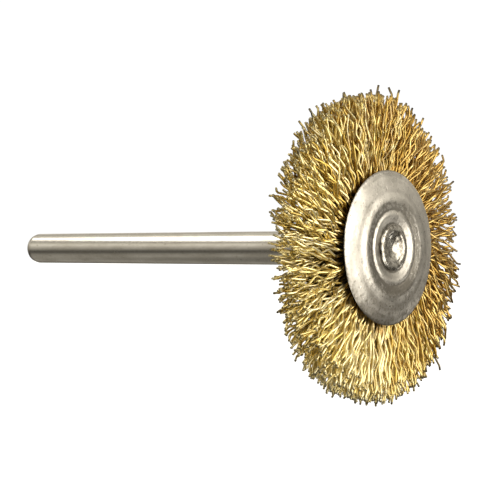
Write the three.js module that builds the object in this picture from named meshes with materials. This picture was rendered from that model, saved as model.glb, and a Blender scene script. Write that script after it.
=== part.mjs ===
// A rotary-tool wire wheel brush: crimped brass wire folded over a steel core ring, pinched between two
// pressed steel cups, and riveted to the end of a plain steel shank. Millimetres, +Z up.
//
// The shank lies along Y. The origin is the centre of the tail face, which goes into the tool's collet, and
// the brush is at -Y, with its riveted front face looking along -Y. "Ahead" below is a distance towards -Y.
import * as THREE from "three";

// Shank
const shankRadius = 1.5;
const tailRounding = 1.0;
const spigotRadius = 1.0;
const wheelPlane = 42.9; // tail face to the middle plane of the wheel

// Pressed cups: both are the same pressing, set back to back
const sheet = 0.35;
const rounding = 0.25; // of the pressing's rim, crest and bead
const cupRadius = 6.5;
const rimHalfGap = 1.2; // middle plane to a cup's inner face at its rim
const crestRadius = 4.05;
const crestRise = 0.5; // crest above the rim, along the axis
const panelRise = 0.38;
const beadRadius = 2.85;
const beadRise = 0.48;
const seatRadius = 2.1;
const seatRise = 0.3;

// Core ring, spacer bush and rivet head
const coreRingRadius = 3.3;
const coreWireRadius = 0.5;
const bushRadius = 1.9;
const headRadius = 1.95;
const headHeight = 0.2;
const dimpleRadius = 1.42;
const dimpleFloorRadius = 0.65;
const dimpleDepth = 0.36;
const lipWidth = 0.12; // flat ring round the dimple

// Wire fill
const bundleCount = 36;
const brushRadius = 13.0;
const brushHalfWidth = 2.4; // half the width of the fill near its tips
const tipRounding = 1.75;
const pinchHalfWidth = 1.0; // half the fill's thickness between the cup rims
const foldRadius = 1.25; // outside of the fold round the core ring
const cavityGap = 0.15; // fill to a cup's inner face under the panel

const clearance = 0.05; // running gap between pieces that touch
const bundleGap = 0.08; // gap between neighbouring bundles

const shankSides = 32;
const cupSides = 40;
const ringSides = 36;

const seatHeight = rimHalfGap + sheet + seatRise; // middle plane to a cup's outer face at the rivet

const materials = {
  shank: new THREE.MeshStandardMaterial({ color: 0xb9b3a6, roughness: 0.25, metalness: 1 }),
  cup: new THREE.MeshStandardMaterial({ color: 0xc4bdb0, roughness: 0.35, metalness: 1 }),
  core: new THREE.MeshStandardMaterial({ color: 0x8f8c86, roughness: 0.5, metalness: 1 }),
  wire: new THREE.MeshStandardMaterial({ color: 0xd8ae5a, roughness: 0.3, metalness: 1 }),
};

// A solid of revolution about Y from an outline that starts and ends on the axis, or closes on itself.
function turned(path, divisions, sides) {
  return new THREE.LatheGeometry(path.getPoints(divisions), sides);
}

// Plain steel pin: rounded tail, cylindrical grip, a shoulder behind the rear cup, and a spigot whose end is
// peened over the front cup into a round head with a dimple.
function shankGeometry() {
  const shoulder = seatHeight + clearance / 2;
  const headTop = shoulder + headHeight;
  const ahead = (distance) => -(wheelPlane + distance);
  const outline = new THREE.Path()
    .moveTo(0, ahead(headTop - dimpleDepth))
    .lineTo(dimpleFloorRadius, ahead(headTop - dimpleDepth))
    .quadraticCurveTo(dimpleRadius - lipWidth, ahead(headTop - dimpleDepth), dimpleRadius, ahead(headTop))
    .lineTo(dimpleRadius + lipWidth, ahead(headTop))
    .quadraticCurveTo(headRadius, ahead(headTop), headRadius, ahead(shoulder))
    .lineTo(spigotRadius, ahead(shoulder))
    .lineTo(spigotRadius, ahead(-shoulder))
    .lineTo(shankRadius, ahead(-shoulder))
    .lineTo(shankRadius, -tailRounding)
    .absarc(shankRadius - tailRounding, -tailRounding, tailRounding, 0, Math.PI / 2, false)
    .lineTo(0, 0);
  return turned(outline, 5, shankSides);
}

// Pressed cup of even thickness, with its open side towards the wire: a sloping flange up to a crest, a
// shallow panel, a raised bead, and a recessed seat with the bore for the spigot. Y is outward.
function cupGeometry() {
  const inner = rimHalfGap; // inner and outer faces at the rim
  const outer = rimHalfGap + sheet;
  const bore = spigotRadius + clearance;
  const roundingRise = (rounding * crestRise) / (cupRadius - crestRadius);
  const outline = new THREE.Path()
    .moveTo(bore, outer + seatRise)
    .lineTo(bore, inner + seatRise)
    .lineTo(seatRadius, inner + seatRise)
    .lineTo(beadRadius, inner + panelRise)
    .lineTo(crestRadius, inner + panelRise)
    .lineTo(cupRadius - rounding, inner)
    .lineTo(cupRadius, inner + roundingRise)
    .quadraticCurveTo(cupRadius, outer, cupRadius - rounding, outer + roundingRise)
    .lineTo(crestRadius + rounding, outer + crestRise - roundingRise)
    .quadraticCurveTo(crestRadius, outer + crestRise, crestRadius - rounding, outer + panelRise)
    .lineTo(beadRadius + rounding, outer + panelRise)
    .quadraticCurveTo(beadRadius, outer + 2 * beadRise - panelRise, beadRadius - rounding, outer + panelRise)
    .lineTo(seatRadius, outer + seatRise)
    .lineTo(bore, outer + seatRise);
  return turned(outline, 3, cupSides);
}

// Sleeve on the spigot that keeps the cups apart while the head is peened.
function bushGeometry() {
  const half = rimHalfGap + seatRise - clearance;
  const bore = spigotRadius + clearance;
  const outline = new THREE.Path()
    .moveTo(bore, -half)
    .lineTo(bushRadius, -half)
    .lineTo(bushRadius, half)
    .lineTo(bore, half)
    .lineTo(bore, -half);
  return turned(outline, 1, shankSides);
}

// Steel wire ring that every brass wire is folded over.
function coreRingGeometry() {
  return new THREE.TorusGeometry(coreRingRadius, coreWireRadius, 8, ringSides).rotateX(Math.PI / 2);
}

// Section of the wire fill in the plane of radius (x) and axis (y): a round fold about the core ring, the
// pinch between the cup rims, and a flare out to rounded tips. The hole is where the core ring passes.
function fillSection() {
  const cavity = rimHalfGap + panelRise - cavityGap; // half the fill's thickness inside the cups
  const flare = brushRadius - tipRounding;
  const section = new THREE.Shape()
    .moveTo(coreRingRadius, -foldRadius)
    .lineTo(crestRadius, -cavity)
    .lineTo(cupRadius, -pinchHalfWidth)
    .quadraticCurveTo(0.5 * (cupRadius + flare), -brushHalfWidth, flare, -brushHalfWidth)
    .absarc(flare, -(brushHalfWidth - tipRounding), tipRounding, -Math.PI / 2, 0, false)
    .lineTo(brushRadius, brushHalfWidth - tipRounding)
    .absarc(flare, brushHalfWidth - tipRounding, tipRounding, 0, Math.PI / 2, false)
    .quadraticCurveTo(0.5 * (cupRadius + flare), brushHalfWidth, cupRadius, pinchHalfWidth)
    .lineTo(crestRadius, cavity)
    .lineTo(coreRingRadius, foldRadius)
    .absarc(coreRingRadius, 0, foldRadius, Math.PI / 2, 1.5 * Math.PI, false);
  const tunnel = new THREE.Path();
  tunnel.absarc(coreRingRadius, 0, coreWireRadius + clearance, 0, 2 * Math.PI, true);
  section.holes.push(tunnel);
  return section;
}

// One bundle of folded wires: the fill's section, as wide as its share of the circle at each radius.
function bundleGeometry() {
  const halfAngle = Math.PI / bundleCount;
  const options = { depth: 2, bevelEnabled: false, curveSegments: 4 };
  const geometry = new THREE.ExtrudeGeometry(fillSection(), options);
  geometry.translate(0, 0, -1);
  const place = geometry.getAttribute("position");
  for (let i = 0; i < place.count; i++) {
    const halfWidth = place.getX(i) * Math.tan(halfAngle) - bundleGap / 2;
    place.setZ(i, place.getZ(i) * halfWidth);
  }
  return geometry;
}

function addPiece(group, name, geometry, material) {
  const mesh = new THREE.Mesh(geometry, material);
  mesh.name = name;
  group.add(mesh);
  return mesh;
}

function wireWheel() {
  const wheel = new THREE.Group();
  wheel.position.y = -wheelPlane;
  addPiece(wheel, "rear_cup", cupGeometry(), materials.cup);
  addPiece(wheel, "front_cup", cupGeometry(), materials.cup).rotation.x = Math.PI;
  addPiece(wheel, "spacer_bush", bushGeometry(), materials.core);
  addPiece(wheel, "core_ring", coreRingGeometry(), materials.core);
  const bundle = bundleGeometry();
  for (let i = 0; i < bundleCount; i++) {
    const name = "wire_bundle_" + String(i + 1).padStart(2, "0");
    addPiece(wheel, name, bundle, materials.wire).rotation.y = (i * 2 * Math.PI) / bundleCount;
  }
  return wheel;
}

const brush = new THREE.Group();
addPiece(brush, "shank", shankGeometry(), materials.shank);
brush.add(wireWheel());

export default brush;
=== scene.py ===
"""A crimped brass wire wheel brush on a steel shank: fine surfaces, materials and studio round its frame.

The shank lies along Y with its tail face at the origin, and the wheel is at -Y with its riveted face
looking along -Y. "Ahead" is a distance towards -Y from the wheel's middle plane. Lengths are in metres.
"""

import math

import bpy
import numpy as np
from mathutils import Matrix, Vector, noise


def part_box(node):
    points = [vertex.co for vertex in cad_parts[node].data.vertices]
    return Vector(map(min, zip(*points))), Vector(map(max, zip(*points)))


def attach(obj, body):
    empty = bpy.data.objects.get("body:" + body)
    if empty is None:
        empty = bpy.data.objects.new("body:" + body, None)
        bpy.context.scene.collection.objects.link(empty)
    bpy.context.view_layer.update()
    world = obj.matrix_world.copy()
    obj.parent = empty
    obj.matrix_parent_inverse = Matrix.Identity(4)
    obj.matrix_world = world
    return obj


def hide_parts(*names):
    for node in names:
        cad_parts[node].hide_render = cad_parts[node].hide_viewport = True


MM = 0.001

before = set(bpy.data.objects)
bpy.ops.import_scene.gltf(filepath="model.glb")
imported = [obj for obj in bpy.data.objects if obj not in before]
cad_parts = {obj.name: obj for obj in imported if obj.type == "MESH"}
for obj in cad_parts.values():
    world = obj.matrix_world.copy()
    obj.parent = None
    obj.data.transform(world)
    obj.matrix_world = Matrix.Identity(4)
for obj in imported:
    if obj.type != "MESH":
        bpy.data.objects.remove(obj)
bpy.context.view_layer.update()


# ---------------------------------------------------------------------------------------------------------
# Driving dimensions, read from the frame where a node's box gives them


def box_middle(node):
    low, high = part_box(node)
    return (low + high) / 2


BUNDLE_COUNT = sum(name.startswith("wire_bundle_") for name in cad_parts)
WHEEL_PLANE = box_middle("core_ring").y
CUP_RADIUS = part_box("front_cup")[1].x
BRUSH_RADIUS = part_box("wire_bundle_01")[1].x
BRUSH_HALF_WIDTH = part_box("wire_bundle_01")[1].y - WHEEL_PLANE
HEAD_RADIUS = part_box("shank")[1].x
HEAD_TOP = WHEEL_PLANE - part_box("shank")[0].y
BUSH_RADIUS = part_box("spacer_bush")[1].x
BUSH_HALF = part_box("spacer_bush")[1].y - WHEEL_PLANE
CORE_WIRE_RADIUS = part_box("core_ring")[1].y - WHEEL_PLANE
CORE_RING_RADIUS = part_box("core_ring")[1].x - CORE_WIRE_RADIUS

SHANK_RADIUS = 1.5 * MM
TAIL_ROUNDING = 1.0 * MM
SPIGOT_RADIUS = 1.0 * MM
BORE_RADIUS = 1.05 * MM
SHOULDER = HEAD_TOP - 0.2 * MM

SHEET = 0.35 * MM
RIM_INNER = WHEEL_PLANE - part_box("front_cup")[1].y
CREST_RADIUS = 4.05 * MM
CREST_RISE = 0.5 * MM
PANEL_RISE = 0.38 * MM
BEAD_RADIUS = 2.85 * MM
BEAD_RISE = 0.48 * MM
SEAT_RADIUS = 2.1 * MM
SEAT_RISE = 0.3 * MM

DIMPLE_RADIUS = 1.42 * MM
DIMPLE_DEPTH = 0.36 * MM

# Wires in one strand share a tint and a crimp, so they read as one stroke
WIRES_PER_BUNDLE = 22
STRANDS_PER_BUNDLE = 11
WIRE_RADIUS = 0.1 * MM
WIRE_SIDES = 5
LEG_POINTS = 34
FOLD_POINTS = 5
CRIMP_PITCH = 2.4 * MM
CRIMP_DEPTH = 0.2 * MM
PINCH_HALF_WIDTH = 1.05 * MM  # of the fill between the cups' rims
TIP_ROUNDING = 1.3 * MM  # rounding of the fill's section at its tips
SIDE_THINNING = 0.85 * MM  # off the fill's half width at +X and -X, fading to none at +Z and -Z
STRAY_SHARE = 0.04  # of the wires stand out past the others
PARTING = math.radians(170)  # wheel angle where neighbouring wires lean apart
DROOP = math.radians(18)  # wheel angle round which the wires droop

# Bands of grime on the cup, as middle radius, half width (both in mm) and strength
GRIME_BANDS = [
    (2.05, 0.13, 1.0),
    (3.25, 0.25, 0.9),
    (3.65, 0.55, 0.9),
    (1.6, 0.9, 0.3),
    (6.5, 0.35, 0.4),
]
# Direction across the wheel of the painted shade on the wires, with painted light on the opposite side
PAINTED_SHADE_DIRECTION = (0.9, 0.0, 0.42)
STUDIO_REACH = 0.40  # wheel to most of the lights


# ---------------------------------------------------------------------------------------------------------
# Mesh helpers


def add_mesh(name, vertices, faces, smooth_angle=None):
    mesh = bpy.data.meshes.new(name)
    mesh.from_pydata(vertices, [], faces)
    mesh.update()
    piece = bpy.data.objects.new(name, mesh)
    bpy.context.scene.collection.objects.link(piece)
    mesh.shade_smooth()
    if smooth_angle is not None:
        mesh.set_sharp_from_angle(angle=smooth_angle)
    return piece


class Outline:
    """Points of a turned section, as (radius, place along the axis), with curves cut into short lines."""

    def __init__(self, radius, place):
        self.points = [(radius, place)]

    def line(self, radius, place):
        self.points.append((radius, place))
        return self

    def curve(self, control_radius, control_place, radius, place, steps=8):
        start_radius, start_place = self.points[-1]
        for i in range(1, steps + 1):
            t = i / steps
            a, b, c = (1 - t) ** 2, 2 * t * (1 - t), t * t
            self.points.append(
                (
                    a * start_radius + b * control_radius + c * radius,
                    a * start_place + b * control_place + c * place,
                )
            )
        return self


def turned(name, outline, sides=144, closed=False):
    """Solid of revolution about Y. An open outline starts and ends on the axis, a closed one is a ring."""
    points = outline.points
    on_axis = [radius < 1e-9 for radius, _ in points]
    vertices = []
    rings = []
    for (radius, place), single in zip(points, on_axis):
        start = len(vertices)
        if single:
            vertices.append((0.0, place, 0.0))
            rings.append([start] * sides)
        else:
            for k in range(sides):
                angle = 2 * math.pi * k / sides
                vertices.append((radius * math.cos(angle), place, radius * math.sin(angle)))
            rings.append(list(range(start, start + sides)))
    faces = []
    pairs = list(zip(rings, rings[1:]))
    if closed:
        pairs.append((rings[-1], rings[0]))
    for ring, following in pairs:
        for k in range(sides):
            corners = [ring[k], ring[(k + 1) % sides], following[(k + 1) % sides], following[k]]
            face = list(dict.fromkeys(corners))
            faces.append(face)
    return add_mesh(name, vertices, faces, smooth_angle=math.radians(35))


def keep(piece, node, material):
    """The piece stands for a CAD node, rides on the brush's one body and takes its finish."""
    piece.data.materials.append(material)
    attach(piece, "root")
    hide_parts(node)
    return piece


# ---------------------------------------------------------------------------------------------------------
# Materials


class Graph:
    """A material's node tree, made by short calls. Inputs are numbers, colours or other nodes' outputs."""

    def __init__(self, name):
        self.material = bpy.data.materials.new(name)
        self.material.use_nodes = True
        self.tree = self.material.node_tree
        self.shader = self.tree.nodes["Principled BSDF"]

    def node(self, kind, inputs=(), **settings):
        made = self.tree.nodes.new("ShaderNode" + kind)
        for key, value in settings.items():
            setattr(made, key, value)
        for key, value in dict(inputs).items():
            self.put(made.inputs[key], value)
        return made

    def put(self, socket, value):
        if isinstance(value, bpy.types.NodeSocket):
            self.tree.links.new(value, socket)
        else:
            socket.default_value = value

    def noise(self, place, scale, detail=2.0, roughness=0.5):
        inputs = {"Vector": place, "Scale": scale, "Detail": detail, "Roughness": roughness}
        return self.node("TexNoise", inputs).outputs["Fac"]

    def math(self, operation, first, second=0.0):
        return self.node("Math", {0: first, 1: second}, operation=operation).outputs[0]

    def span(self, value, low, high, to_low=0.0, to_high=1.0):
        """value from low..high to to_low..to_high, clamped."""
        inputs = {0: value, 1: low, 2: high, 3: to_low, 4: to_high}
        return self.node("MapRange", inputs).outputs[0]

    def mix(self, share, first, second, blend_type="MIX"):
        inputs = {0: share, 6: first, 7: second}
        return self.node("Mix", inputs, data_type="RGBA", blend_type=blend_type).outputs[2]

    def ramp(self, share, stops):
        made = self.node("ValToRGB", {0: share})
        elements = made.color_ramp.elements
        elements[0].position, elements[0].color = stops[0][0], (*stops[0][1], 1)
        elements[1].position, elements[1].color = stops[-1][0], (*stops[-1][1], 1)
        for position, colour in stops[1:-1]:
            elements.new(position).color = (*colour, 1)
        return made.outputs["Color"]

    def scaled_place(self, scale):
        """The piece's own coordinates, stretched by scale."""
        place = self.node("TexCoord").outputs["Object"]
        return self.node("VectorMath", {0: place, 1: scale}, operation="MULTIPLY").outputs[0]

    def bump(self, height, strength, distance):
        inputs = {"Height": height, "Strength": strength, "Distance": distance}
        return self.node("Bump", inputs).outputs[0]

    def finish(self, **sockets):
        for key, value in sockets.items():
            self.put(self.shader.inputs[key.replace("_", " ")], value)
        return self.material


def shank_material():
    """Bright drawn steel with faint turning marks, soft streaks, a painted dark reflection on the tail's
    rounding and a dirty peened head.
    """
    graph = Graph("drawn_steel")
    rings = graph.noise(graph.scaled_place((150, 5200, 150)), 1.0, 3.0)
    blotches = graph.noise(graph.scaled_place((900, 260, 900)), 1.0, 4.0, 0.6)
    specks = graph.noise(graph.scaled_place((5200, 5200, 5200)), 1.0, 2.0)
    worn = graph.span(blotches, 0.35, 0.7)
    colour = graph.mix(worn, (0.80, 0.765, 0.69, 1), (0.64, 0.60, 0.525, 1))
    colour = graph.mix(graph.span(specks, 0.62, 0.75, 0.0, 0.5), colour, (0.34, 0.30, 0.24, 1))
    along = graph.node("SeparateXYZ", {0: graph.scaled_place((1000, 1000, 1000))}).outputs["Y"]
    # painted shade: a dark reflection painted over the tail's rounding
    colour = graph.mix(graph.span(along, -1.3, -0.3, 0.0, 0.7), colour, (0.22, 0.19, 0.15, 1))
    peened = graph.span(along, -44.5, -44.7)
    dirt = graph.noise(graph.scaled_place((2400, 2400, 2400)), 1.0, 3.0, 0.6)
    soiled = graph.math("MULTIPLY", peened, graph.span(dirt, 0.36, 0.62, 0.25, 0.95))
    colour = graph.mix(soiled, colour, (0.15, 0.13, 0.10, 1))
    satin = graph.span(blotches, 0.3, 0.7, 0.13, 0.23)
    roughness = graph.math("ADD", satin, graph.span(rings, 0.3, 0.7, 0, 0.06))
    return graph.finish(
        Base_Color=colour,
        Metallic=1.0,
        Roughness=roughness,
        Normal=graph.bump(rings, 0.25, 0.00002),
    )


def cup_material():
    """Plated pressed steel: satin and cloudy, dirty in the low rings, and darker towards the bottom, with
    more specks and painted shade there.
    """
    graph = Graph("pressed_steel")
    clouds = graph.noise(graph.scaled_place((420, 420, 420)), 1.0, 4.0, 0.6)
    grain = graph.noise(graph.scaled_place((3400, 3400, 3400)), 1.0, 3.0, 0.6)
    height = graph.node("SeparateXYZ", {0: graph.scaled_place((1000, 1000, 1000))}).outputs["Z"]
    flat_place = graph.scaled_place((1000, 0, 1000))
    radius = graph.node("VectorMath", {0: flat_place}, operation="LENGTH").outputs["Value"]
    grime = 0.0
    for centre, half_width, strength in GRIME_BANDS:
        away = graph.math("ABSOLUTE", graph.math("SUBTRACT", radius, centre))
        grime = graph.math("ADD", grime, graph.span(away, 0.0, half_width, strength, 0.0))
    dirt = graph.math("ADD", grain, graph.math("MULTIPLY", grime, 0.3))
    dirt = graph.math("ADD", dirt, graph.span(height, -6.5, -1.0, 0.06, -0.09))
    # painted shade: the mottling darkens towards the bottom
    clouds = graph.math("ADD", clouds, graph.span(height, -6.5, 0.0, 0.36, 0.0))
    spun = graph.node("CombineXYZ", {0: radius, 1: graph.math("MULTIPLY", height, 0.12)}).outputs[0]
    clouds = graph.math("ADD", clouds, graph.span(graph.noise(spun, 1.7, 3.0), 0.35, 0.65, -0.12, 0.12))
    colour = graph.mix(graph.span(clouds, 0.35, 0.8), (0.66, 0.62, 0.55, 1), (0.30, 0.275, 0.235, 1))
    colour = graph.mix(graph.span(dirt, 0.5, 0.68, 0.0, 0.75), colour, (0.13, 0.115, 0.09, 1))
    return graph.finish(
        Base_Color=colour,
        Metallic=1.0,
        Roughness=graph.span(grain, 0.3, 0.7, 0.26, 0.42),
        Normal=graph.bump(grain, 0.5, 0.00004),
    )


def core_material():
    """Dull mill-finish steel of the hidden ring and bush, with a brown bloom."""
    graph = Graph("mill_steel")
    clouds = graph.noise(graph.scaled_place((800, 800, 800)), 1.0, 4.0, 0.6)
    colour = graph.mix(graph.span(clouds, 0.35, 0.7), (0.52, 0.50, 0.47, 1), (0.30, 0.24, 0.18, 1))
    return graph.finish(Base_Color=colour, Metallic=1.0, Roughness=graph.span(clouds, 0.3, 0.7, 0.4, 0.6))


def wire_material():
    """Hard drawn brass with a tint for each strand, with painted shade at the hub, at the tips and on one
    side, and painted light on the other side.
    """
    graph = Graph("brass_wire")
    tint = graph.node("Attribute", attribute_name="tint").outputs["Fac"]
    along = graph.node("Attribute", attribute_name="along").outputs["Fac"]
    reach = graph.node("Attribute", attribute_name="reach").outputs["Fac"]
    film_and_shade = graph.noise(graph.scaled_place((1100, 1100, 1100)), 1.0, 2.0)
    # painted shade and light across the wheel: more dark film on the upper right side, a lighter tint on
    # the lower left side
    across = {0: graph.scaled_place((1000, 1000, 1000)), 1: PAINTED_SHADE_DIRECTION}
    painted_shade_side = graph.node("VectorMath", across, operation="DOT_PRODUCT").outputs["Value"]
    film_and_shade = graph.math("ADD", film_and_shade, graph.span(painted_shade_side, -11.0, 11.0, -0.12, 0.38))
    tint = graph.math("ADD", tint, graph.span(painted_shade_side, -11.0, 2.0, 0.34, 0.0))
    colour = graph.ramp(
        tint,
        [
            (0.0, (0.30, 0.20, 0.035)),
            (0.2, (0.60, 0.42, 0.10)),
            (0.35, (0.90, 0.71, 0.26)),
            (0.7, (0.97, 0.82, 0.38)),
            (1.0, (0.97, 0.86, 0.52)),
        ],
    )
    # the dark brown film is real tarnish noise plus the painted shade of one side
    colour = graph.mix(graph.span(film_and_shade, 0.55, 0.78, 0.0, 0.75), colour, (0.52, 0.31, 0.075, 1))
    # painted shade near the hub, where the wires shade each other and the cups overhang them
    colour = graph.mix(graph.span(along, 0.25, 0.65, 0.6, 0.0), colour, (0.42, 0.25, 0.05, 1))
    # painted shade: a dark reflection painted at the wires' tips
    colour = graph.mix(graph.span(along, 0.965, 1.0, 0.0, 0.6), colour, (0.24, 0.19, 0.10, 1))
    # painted shade: wires reaching past the wheel's outline are darkened as dark reflections at the
    # silhouette
    colour = graph.mix(graph.span(reach, 0.98, 1.02, 0.0, 0.85), colour, (0.11, 0.095, 0.065, 1))
    return graph.finish(Base_Color=colour, Metallic=1.0, Roughness=0.3)


# ---------------------------------------------------------------------------------------------------------
# Turned and pressed pieces


def ahead(distance):
    return WHEEL_PLANE - distance


def shank_outline():
    """From the head's dimple, round the peened head, down the spigot, and along the grip to the tail."""
    outline = Outline(0.0, ahead(HEAD_TOP - DIMPLE_DEPTH))
    outline.curve(0.15 * MM, ahead(HEAD_TOP - DIMPLE_DEPTH), 0.4 * MM, ahead(HEAD_TOP - 0.31 * MM), 6)
    outline.line(0.65 * MM, ahead(HEAD_TOP - 0.26 * MM))
    outline.line(0.9 * MM, ahead(HEAD_TOP - 0.2 * MM))
    outline.line(1.15 * MM, ahead(HEAD_TOP - 0.13 * MM))
    lip = ahead(HEAD_TOP - 0.01 * MM)
    outline.curve(DIMPLE_RADIUS - 0.15 * MM, ahead(HEAD_TOP - 0.05 * MM), DIMPLE_RADIUS, lip, 6)
    outline.line(DIMPLE_RADIUS + 0.1 * MM, ahead(HEAD_TOP))
    outline.curve(HEAD_RADIUS - 0.04 * MM, lip, HEAD_RADIUS, ahead(SHOULDER + 0.05 * MM), 8)
    outline.line(HEAD_RADIUS - 0.04 * MM, ahead(SHOULDER))
    outline.line(SPIGOT_RADIUS, ahead(SHOULDER))
    outline.line(SPIGOT_RADIUS, ahead(-SHOULDER))
    outline.line(SHANK_RADIUS - 0.1 * MM, ahead(-SHOULDER))
    outline.line(SHANK_RADIUS, ahead(-SHOULDER - 0.1 * MM))
    rounding_start = -TAIL_ROUNDING
    for i in range(1, 12):
        outline.line(SHANK_RADIUS, ahead(-SHOULDER) * (1 - i / 12) + rounding_start * i / 12)
    outline.line(SHANK_RADIUS, rounding_start - 0.03 * MM)
    outline.line(SHANK_RADIUS - 0.03 * MM, rounding_start)
    for i in range(1, 9):
        turn = math.pi / 2 * i / 8
        outline.line(
            SHANK_RADIUS - 0.03 * MM - TAIL_ROUNDING * (1 - math.cos(turn)),
            rounding_start + TAIL_ROUNDING * math.sin(turn),
        )
    outline.line(0.0, 0.0)
    return outline


def cup_outline():
    """Section of the pressing, outer face first. Place is outward from the wheel's middle plane."""
    outer = RIM_INNER + SHEET
    valley = BEAD_RADIUS + 0.42 * MM
    valley_rise = PANEL_RISE + 0.06 * MM  # keeps the panel shallow between the bead and the crest
    flange_slope = CREST_RISE / (CUP_RADIUS - CREST_RADIUS)
    outline = Outline(BORE_RADIUS, outer + SEAT_RISE)
    outline.line(SEAT_RADIUS - 0.12 * MM, outer + SEAT_RISE)
    seat = outer + SEAT_RISE
    bead = outer + BEAD_RISE
    panel = outer + valley_rise
    crest = outer + CREST_RISE
    flange_start = crest - 0.3 * MM * flange_slope
    outline.curve(SEAT_RADIUS, seat, SEAT_RADIUS + 0.1 * MM, seat + 0.03 * MM, 5)
    outline.line(BEAD_RADIUS - 0.2 * MM, bead - 0.03 * MM)
    outline.curve(BEAD_RADIUS, bead + 0.02 * MM, BEAD_RADIUS + 0.14 * MM, bead - 0.04 * MM, 8)
    outline.curve(valley - 0.1 * MM, panel - 0.05 * MM, valley, panel - 0.02 * MM, 6)
    outline.curve(valley + 0.1 * MM, panel, CREST_RADIUS - 0.2 * MM, crest - 0.012 * MM, 6)
    outline.curve(CREST_RADIUS, crest + 0.015 * MM, CREST_RADIUS + 0.3 * MM, flange_start, 8)
    # a faint pressed ring on the flange
    ring = CREST_RADIUS + 0.34 * (CUP_RADIUS - CREST_RADIUS)
    ring_rise = CREST_RISE - (ring - CREST_RADIUS) * flange_slope
    outline.line(ring - 0.12 * MM, outer + ring_rise + 0.012 * MM)
    outline.line(ring + 0.06 * MM, outer + ring_rise + 0.006 * MM)
    outline.line(CUP_RADIUS - 0.3 * MM, outer + 0.3 * MM * flange_slope)
    outline.curve(CUP_RADIUS - 0.03 * MM, outer, CUP_RADIUS, outer - 0.06 * MM, 8)
    outline.line(CUP_RADIUS - 0.03 * MM, outer - 0.11 * MM)
    outline.line(CUP_RADIUS - 0.45 * MM, RIM_INNER)
    outline.line(CUP_RADIUS - 0.7 * MM, RIM_INNER + 0.05 * MM)
    outline.line(CREST_RADIUS, RIM_INNER + PANEL_RISE)
    outline.line(BEAD_RADIUS, RIM_INNER + PANEL_RISE)
    outline.line(SEAT_RADIUS, RIM_INNER + SEAT_RISE)
    outline.line(BORE_RADIUS, RIM_INNER + SEAT_RISE)
    return outline


def facing(outline, side):
    """The same outline in the row frame, with outward along -Y (side 1) or +Y (side -1)."""
    made = Outline(0.0, 0.0)
    made.points = [(radius, ahead(side * place)) for radius, place in outline.points]
    if side < 0:
        made.points.reverse()
    return made


def bush_outline():
    edge = 0.08 * MM
    outline = Outline(BORE_RADIUS, ahead(BUSH_HALF))
    outline.line(BUSH_RADIUS - edge, ahead(BUSH_HALF))
    outline.line(BUSH_RADIUS, ahead(BUSH_HALF - edge))
    outline.line(BUSH_RADIUS, ahead(edge - BUSH_HALF))
    outline.line(BUSH_RADIUS - edge, ahead(-BUSH_HALF))
    outline.line(BORE_RADIUS, ahead(-BUSH_HALF))
    return outline


def core_ring_outline(sides=20):
    outline = Outline(CORE_RING_RADIUS + CORE_WIRE_RADIUS, WHEEL_PLANE)
    for i in range(1, sides):
        turn = -2 * math.pi * i / sides
        outline.line(
            CORE_RING_RADIUS + CORE_WIRE_RADIUS * math.cos(turn),
            WHEEL_PLANE + CORE_WIRE_RADIUS * math.sin(turn),
        )
    return outline


def roughen(piece, depth, scale, seed, within=None):
    """Moves the points along Y by a smooth noise, as hand work and the press leave a surface."""
    shift = Vector((seed, -seed, 0.5 * seed))
    for vertex in piece.data.vertices:
        radius = math.hypot(vertex.co.x, vertex.co.z)
        share = 1.0 if within is None else max(0.0, 1.0 - (radius / within) ** 4)
        vertex.co.y += share * depth * noise.noise(vertex.co * scale + shift)


# ---------------------------------------------------------------------------------------------------------
# Wire fill


def smooth_step(value, low, high):
    t = np.clip((value - low) / (high - low), 0, 1)
    return t * t * (3 - 2 * t)


def combed(angle):
    """Sideways lean of the fill: it parts along one line across the wheel and droops round DROOP."""
    after = ((angle - PARTING) / math.pi) % 1.0
    return 0.34 * (1 - after) ** 0.7 - 0.03 + 0.3 * np.clip(np.cos(angle - DROOP), 0, 1) ** 4


def crimp_wave(phase):
    """A wave with nearly straight flanks and round crests, from -1 to 1."""
    return (np.sin(phase) - np.sin(3 * phase) / 9) / 1.111


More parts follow.
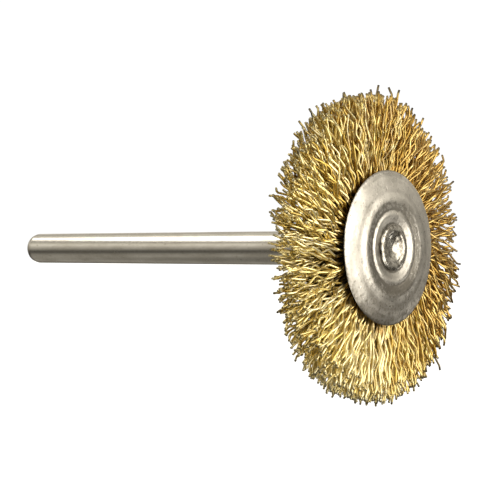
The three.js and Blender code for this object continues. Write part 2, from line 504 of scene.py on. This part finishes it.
def leg_lines(random, angle, share, side, strand):
    """Centre lines of one leg of each wire, from the fold out, as radius, tangential and axial places."""
    count = len(share)
    along = np.linspace(0, 1, LEG_POINTS)[None, :]
    flat = np.cos(angle) ** 2
    half_width = BRUSH_HALF_WIDTH - SIDE_THINNING * flat
    spread = share * half_width + random.normal(0, 0.25 * MM, count)
    over = np.clip((np.abs(spread) - half_width + TIP_ROUNDING) / TIP_ROUNDING, 0, 1)
    shortening = np.abs(random.normal(0, 0.35 * MM, count))
    tip = BRUSH_RADIUS - TIP_ROUNDING * (1 - np.sqrt(1 - over**2)) - shortening
    tip = tip - random.exponential(1.1 * MM, count) * np.clip(np.abs(share) - 0.45, 0, 1)
    stray = random.random(count) < STRAY_SHARE
    tip = tip + stray * random.uniform(0.2 * MM, 0.8 * MM, count)
    radius = CORE_RING_RADIUS + (tip[:, None] - CORE_RING_RADIUS) * along
    free = (radius - CUP_RADIUS) / (BRUSH_RADIUS - CUP_RADIUS)
    free_up = np.clip(free, 0, None)
    to_pinch = smooth_step(radius, CORE_RING_RADIUS, CUP_RADIUS)
    at_fold = side * strand["fold"][:, None]
    at_pinch = share[:, None] * PINCH_HALF_WIDTH
    sway = random.normal(0, 0.3 * MM, count)[:, None] * np.sin(math.pi * free_up)
    inside = at_fold * (1 - to_pinch) + at_pinch * to_pinch
    axial = inside + (spread[:, None] - at_pinch) * free_up**1.15 + sway
    lean = strand["lean"] + random.normal(0, 0.1, count) + stray * random.normal(0, 0.16, count)
    bend = strand["bend"] + random.normal(0, 0.25 * MM, count)
    lean = lean + combed(angle + random.laplace(0, 0.17, count))
    tangential = lean[:, None] * free_up * (BRUSH_RADIUS - CUP_RADIUS) + bend[:, None] * free_up**2
    phase = strand["phase"] + random.normal(0, 0.5, count)
    pitch = CRIMP_PITCH * (1 + random.normal(0, 0.05, count))
    wave = crimp_wave(2 * math.pi * radius / pitch[:, None] + phase[:, None])
    turn = strand["turn"] + random.normal(0, 0.4, count)
    depth = CRIMP_DEPTH * random.uniform(0.6, 1.4, count)
    loose = smooth_step(radius, CUP_RADIUS - 0.5 * MM, CUP_RADIUS + 0.8 * MM)
    tangential = tangential + wave * (depth * np.cos(turn))[:, None] * (0.3 + 0.7 * loose)
    axial = axial + wave * (depth * np.sin(turn))[:, None] * loose
    return radius, tangential, axial


def fold_lines(fold):
    """Half circle of each wire round the core ring, from the rear leg to the front leg."""
    turn = np.linspace(math.pi / 2, 1.5 * math.pi, FOLD_POINTS + 2)[None, 1:-1]
    radius = CORE_RING_RADIUS + fold[:, None] * np.cos(turn)
    axial = fold[:, None] * np.sin(turn)
    return radius, np.zeros_like(radius), axial


def tubes(lines, across, radius, sides):
    """Vertices of a tube about each line, ring by ring. across is a direction nearly square to the line."""
    tangent = np.gradient(lines, axis=1)
    tangent /= np.linalg.norm(tangent, axis=2, keepdims=True)
    first = across[:, None, :] - np.sum(across[:, None, :] * tangent, axis=2, keepdims=True) * tangent
    first /= np.linalg.norm(first, axis=2, keepdims=True)
    second = np.cross(tangent, first)
    turn = 2 * math.pi * np.arange(sides) / sides
    ring = np.cos(turn)[:, None] * first[:, :, None, :] + np.sin(turn)[:, None] * second[:, :, None, :]
    return lines[:, :, None, :] + radius * ring


def tube_faces(tube_count, ring_count, sides):
    faces = []
    for tube in range(tube_count):
        start = tube * ring_count * sides
        for ring in range(ring_count - 1):
            here = start + ring * sides
            for k in range(sides):
                after = (k + 1) % sides
                faces.append((here + k, here + after, here + sides + after, here + sides + k))
        last = start + (ring_count - 1) * sides
        faces.append(tuple(start + k for k in reversed(range(sides))))
        faces.append(tuple(last + k for k in range(sides)))
    return faces


def wheel_lean(angle, radius):
    """How far the fill leans along Y. The worn wheel is pushed over, and further on one side."""
    free = np.clip((radius - CUP_RADIUS) / (BRUSH_RADIUS - CUP_RADIUS), 0, None)
    return free * (0.40 + 0.30 * np.cos(angle) - 0.2 * np.sin(angle)) * MM


def bundle_lines(random, middle):
    """Centre lines of a bundle's folded wires, tip to tip, and a sideways direction for each wire."""
    count = WIRES_PER_BUNDLE
    half_angle = math.pi / BUNDLE_COUNT
    strand_of = np.arange(count) % STRANDS_PER_BUNDLE
    slots = np.linspace(-1, 1, STRANDS_PER_BUNDLE, endpoint=False) + 1 / STRANDS_PER_BUNDLE
    places = slots[strand_of] + random.normal(0, 0.07, count)
    angle = middle + half_angle * places
    fold = random.uniform(CORE_WIRE_RADIUS + 0.1 * MM, CORE_WIRE_RADIUS + 0.65 * MM, count)
    layer = np.argsort(np.argsort(random.random(count))) / (count - 1)
    columns = []
    for side in (1, -1):
        strand = {
            "fold": fold,
            "lean": random.normal(0, 0.04, STRANDS_PER_BUNDLE)[strand_of],
            "bend": random.normal(0, 0.12 * MM, STRANDS_PER_BUNDLE)[strand_of],
            "phase": random.uniform(0, 2 * math.pi, STRANDS_PER_BUNDLE)[strand_of],
            "turn": random.normal(math.pi / 2, 0.8, STRANDS_PER_BUNDLE)[strand_of],
        }
        share = side * (0.04 + 0.96 * layer)
        columns.append(leg_lines(random, angle, share, side, strand))
    rear, front = columns
    bend = fold_lines(fold)
    radius, tangential, axial = (
        np.concatenate([back[:, ::-1], middle_part, ahead_part], axis=1)
        for back, middle_part, ahead_part in zip(rear, bend, front)
    )
    outward = np.stack([np.cos(angle), np.zeros(count), -np.sin(angle)], axis=1)
    sideways = np.stack([-np.sin(angle), np.zeros(count), -np.cos(angle)], axis=1)
    axial = axial + WHEEL_PLANE + wheel_lean(angle[:, None], radius)
    lines = radius[:, :, None] * outward[:, None, :] + tangential[:, :, None] * sideways[:, None, :]
    lines[:, :, 1] += axial
    return lines, sideways


def wire_bundle(index, material):
    """One bundle's wires, each a folded and crimped tube, with three attributes for the material:
    its tint, the place along it (0 at the fold, 1 at a tip), and the reach from the axis in wheel radii.
    """
    random = np.random.default_rng(1000 + index)
    middle = 2 * math.pi * index / BUNDLE_COUNT
    lines, sideways = bundle_lines(random, middle)
    legs = np.linspace(0, 1, LEG_POINTS)
    along = np.concatenate([legs[::-1], np.zeros(FOLD_POINTS), legs])
    points = tubes(lines, sideways, WIRE_RADIUS, WIRE_SIDES)
    count, rings = lines.shape[:2]
    node = f"wire_bundle_{index + 1:02d}"
    faces = tube_faces(count, rings, WIRE_SIDES)
    piece = add_mesh(node + "_wires", points.reshape(-1, 3).tolist(), faces)
    for face in piece.data.polygons:
        face.use_smooth = face.loop_total == 4
    reach = np.hypot(lines[:, :, 0], lines[:, :, 2]).ravel() / BRUSH_RADIUS
    strand_tint = random.normal(0.52, 0.26, STRANDS_PER_BUNDLE)
    tint = strand_tint[np.arange(count) % STRANDS_PER_BUNDLE] + random.normal(0, 0.1, count)
    values = {
        "tint": np.repeat(np.clip(tint, 0, 1), rings * WIRE_SIDES),
        "along": np.tile(np.repeat(along, WIRE_SIDES), count),
        "reach": np.repeat(reach, WIRE_SIDES),
    }
    for name, numbers in values.items():
        attribute = piece.data.attributes.new(name, "FLOAT", "POINT")
        attribute.data.foreach_set("value", numbers.astype(np.float32))
    return keep(piece, node, material)


# ---------------------------------------------------------------------------------------------------------
# Studio

CAMERA_PLACE = Vector((-95.45, -108.30, -0.18)) * MM
CAMERA_TURN = math.radians(50.37)
CAMERA_LENS = 98.4
FLOOR_HEIGHT = -42 * MM


def rectangle(half_width, half_height, height=0.0):
    """Corners of a level rectangle."""
    return [
        (-half_width, -half_height, height),
        (half_width, -half_height, height),
        (half_width, half_height, height),
        (-half_width, half_height, height),
    ]


def camera():
    data = bpy.data.cameras.new("camera")
    data.sensor_width = 36
    data.lens = CAMERA_LENS
    data.clip_start = 0.01
    data.clip_end = 20
    made = bpy.data.objects.new("camera", data)
    looking = Vector((math.sin(CAMERA_TURN), math.cos(CAMERA_TURN), 0))
    made.location = CAMERA_PLACE
    made.rotation_euler = looking.to_track_quat("-Z", "Y").to_euler()
    bpy.context.scene.collection.objects.link(made)
    bpy.context.scene.camera = made


def floor():
    """Plain white table, lit from within so that it meets the backdrop without a line."""
    half = 4.0
    made = add_mesh("floor", rectangle(half, half, FLOOR_HEIGHT), [(0, 1, 2, 3)])
    graph = Graph("white_table")
    made.data.materials.append(
        graph.finish(
            Base_Color=(0.9, 0.9, 0.9, 1),
            Roughness=0.9,
            Emission_Color=(1, 1, 1, 1),
            Emission_Strength=0.75,
        )
    )
    made.visible_glossy = False


def studio_world():
    """White backdrop for the camera. The brush sees a tent of bright and dim bands, brightest above."""
    world = bpy.data.worlds.new("studio")
    bpy.context.scene.world = world
    world.use_nodes = True
    graph = Graph.__new__(Graph)
    graph.tree = world.node_tree
    direction = graph.node("TexCoord").outputs["Generated"]
    height = graph.node("SeparateXYZ", {0: direction}).outputs["Z"]
    levels = [
        (-1.0, 0.22),
        (-0.76, 0.17),
        (-0.65, 0.33),
        (-0.50, 0.25),
        (-0.36, 0.085),
        (-0.22, 0.11),
        (-0.06, 0.36),
        (0.10, 0.52),
        (0.30, 0.86),
        (0.52, 0.36),
        (0.70, 0.72),
        (1.0, 0.6),
    ]
    stops = [((z + 1) / 2, (e, 0.95 * e, 0.84 * e)) for z, e in levels]
    tent = graph.ramp(graph.span(height, -1.0, 1.0), stops)
    seen = graph.node("LightPath").outputs["Is Camera Ray"]
    colour = graph.mix(seen, tent, (1.05, 1.05, 1.05, 1))
    background = world.node_tree.nodes["Background"]
    graph.put(background.inputs["Color"], colour)


def softbox(name, towards, distance, width, height, radiance, tint=(1.0, 0.97, 0.9)):
    """Area light that the wheel sees in the direction towards. It never shows in the picture itself."""
    data = bpy.data.lights.new(name, "AREA")
    data.shape = "RECTANGLE"
    data.size = width
    data.size_y = height
    data.energy = 4 * radiance * width * height
    data.color = tint
    light = bpy.data.objects.new(name, data)
    direction = Vector(towards).normalized()
    light.location = Vector((0, 0.6 * WHEEL_PLANE, 0)) + direction * distance
    light.rotation_euler = direction.to_track_quat("Z", "Y").to_euler()
    light.visible_camera = False
    bpy.context.scene.collection.objects.link(light)


def dark_card(name, towards, distance, width, height):
    """Black card that only reflections see."""
    direction = Vector(towards).normalized()
    made = add_mesh(name, rectangle(width / 2, height / 2), [(0, 1, 2, 3)])
    made.location = Vector((0, WHEEL_PLANE, 0)) + direction * distance
    made.rotation_euler = direction.to_track_quat("Z", "Y").to_euler()
    black = Graph(name + "_black").finish(Base_Color=(0.02, 0.02, 0.02, 1), Roughness=0.9)
    made.data.materials.append(black)
    made.visible_camera = False
    made.visible_shadow = False


def build_studio():
    bpy.context.scene.view_settings.view_transform = "Standard"
    camera()
    floor()
    studio_world()
    softbox("top_box", (-0.26, 0.64, 0.72), 0.30, 0.16, 0.11, 1.8)
    softbox("front_box", (0.29, -0.955, 0.05), STUDIO_REACH, 0.30, 0.34, 2.75)
    softbox("key_box", (-0.60, -0.55, 0.58), STUDIO_REACH, 0.22, 0.22, 2.0)
    softbox("low_box", (-0.20, -0.74, -0.64), STUDIO_REACH, 0.26, 0.18, 3.2)
    softbox("rim_box", (0.93, -0.30, -0.24), STUDIO_REACH, 0.08, 0.06, 2.0)
    dark_card("side_card", (0.95, -0.28, 0.12), STUDIO_REACH, 0.06, 0.07)


# ---------------------------------------------------------------------------------------------------------
# The brush


def build_brush():
    steel = shank_material()
    pressed = cup_material()
    dull = core_material()
    brass = wire_material()
    shank = keep(turned("shank_turned", shank_outline()), "shank", steel)
    roughen(shank, 0.05 * MM, 1900, 3.0, within=1.3 * MM)
    for name, side in (("front_cup", 1), ("rear_cup", -1)):
        cup = turned(name + "_pressing", facing(cup_outline(), side), 160, closed=True)
        keep(cup, name, pressed)
        roughen(cup, 0.012 * MM, 900, 7.0 * side)
    keep(turned("spacer_bush_sleeve", bush_outline(), 96, closed=True), "spacer_bush", dull)
    keep(turned("core_ring_wire", core_ring_outline(), 144, closed=True), "core_ring", dull)
    for index in range(BUNDLE_COUNT):
        wire_bundle(index, brass)


build_studio()
build_brush()
